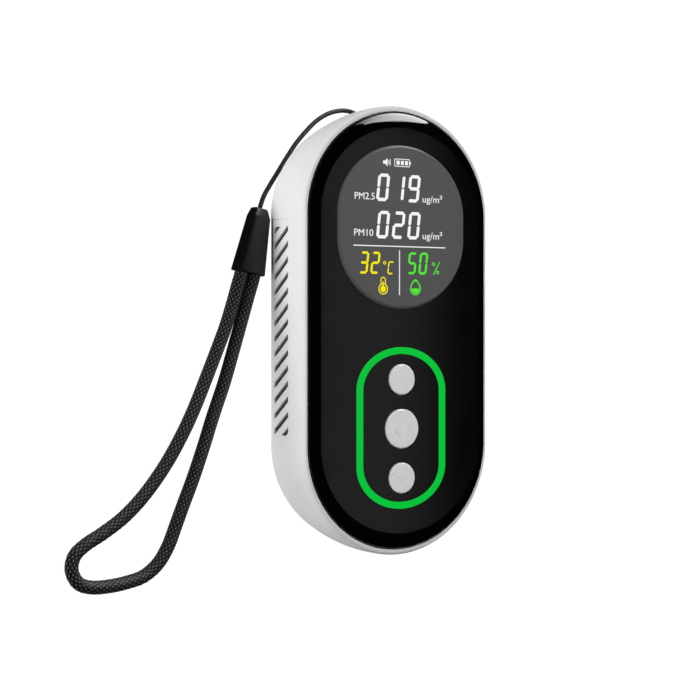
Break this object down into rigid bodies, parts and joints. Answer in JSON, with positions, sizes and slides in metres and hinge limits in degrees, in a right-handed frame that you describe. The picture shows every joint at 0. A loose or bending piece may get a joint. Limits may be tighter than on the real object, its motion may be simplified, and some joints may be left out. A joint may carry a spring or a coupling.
{
  "type": "handheld air quality monitor",
  "caption": "Pocket air quality monitor with a round-ended case, raised display window, lit ring round its keys, vented sides and a braided wrist lanyard.",
  "frame": {"origin": "middle of the flat rear face, which the monitor lies on", "axes": "+Z out of the front face, +Y to the end that the lanyard leaves, +X to the reader's right"},
  "size_m": [0.1159, 0.1276, 0.0234],
  "materials": {
    "shell_white": "satin off-white moulded ABS",
    "panel_black": "glossy black acrylic with a rolled edge",
    "window_grey": "grey tinted display window, lightly frosted",
    "lcd_glass": "liquid crystal cell with polarisers",
    "ring_green": "green light guide",
    "button_grey": "light grey moulded button",
    "switch_black": "black moulded plastic",
    "steel": "bright zinc plated steel",
    "brass": "turned brass",
    "board_green": "glass epoxy board with green solder resist",
    "white_plastic": "white moulded plastic",
    "cell_grey": "aluminium laminate pouch cell",
    "amber_film": "amber polyimide film",
    "wire_red": "red insulated wire",
    "mesh_grey": "dark grey dust mesh",
    "tape_black": "black foam tape",
    "braid_black": "black braided polyester",
    "ferrule_black": "black moulded ferrule"
  },
  "bodies": {
    "case": {"housing": "shell_white", "rear_cover": "shell_white", "front_panel": "panel_black", "display_window": "window_grey", "light_ring": "ring_green", "switch_up": "switch_black", "switch_centre": "switch_black", "switch_down": "switch_black", "button_frame": "switch_black", "main_board": "board_green", "control_chip": "switch_black", "led_1": "white_plastic", "led_2": "white_plastic", "led_3": "white_plastic", "led_4": "white_plastic", "usb_port": "steel", "buzzer": "switch_black", "battery": "cell_grey", "battery_plug": "white_plastic", "battery_lead": "wire_red", "lcd_backlight": "white_plastic", "lcd_glass": "lcd_glass", "lcd_flex": "amber_film", "sensor_case": "switch_black", "sensor_lid": "steel", "fan_bearing": "brass", "laser_module": "brass", "photodiode": "switch_black", "climate_board": "board_green", "climate_sensor": "white_plastic", "vent_mesh_left": "mesh_grey", "vent_mesh_right": "mesh_grey", "panel_tape": "tape_black", "lanyard_pin": "steel", "lanyard_string": "braid_black", "lanyard_ferrule": "ferrule_black", "lanyard_loop": "braid_black", "cover_screw_1": "steel", "cover_screw_2": "steel", "cover_screw_3": "steel", "cover_screw_4": "steel", "board_screw_1": "steel", "board_screw_2": "steel", "board_screw_3": "steel"},
    "key_up": {"button_up": "button_grey", "plunger_up": "white_plastic"},
    "key_centre": {"button_centre": "button_grey", "plunger_centre": "white_plastic"},
    "key_down": {"button_down": "button_grey", "plunger_down": "white_plastic"},
    "fan": {"fan_rotor": "switch_black"}
  },
  "joints": [
    {"name": "up_press", "type": "slide", "parent": "case", "child": "key_up", "axis": [0, 0, -1], "range_m": [0, 0.0004], "stiffness_N_per_m": 1500, "springref_m": -0.0002},
    {"name": "centre_press", "type": "slide", "parent": "case", "child": "key_centre", "axis": [0, 0, -1], "range_m": [0, 0.0004], "stiffness_N_per_m": 1500, "springref_m": -0.0002},
    {"name": "down_press", "type": "slide", "parent": "case", "child": "key_down", "axis": [0, 0, -1], "range_m": [0, 0.0004], "stiffness_N_per_m": 1500, "springref_m": -0.0002},
    {"name": "fan_spin", "type": "hinge", "parent": "case", "child": "fan", "pos_m": [-0.0065, 0.015, 0.0063], "axis": [0, 0, 1], "continuous": true}
  ]
}
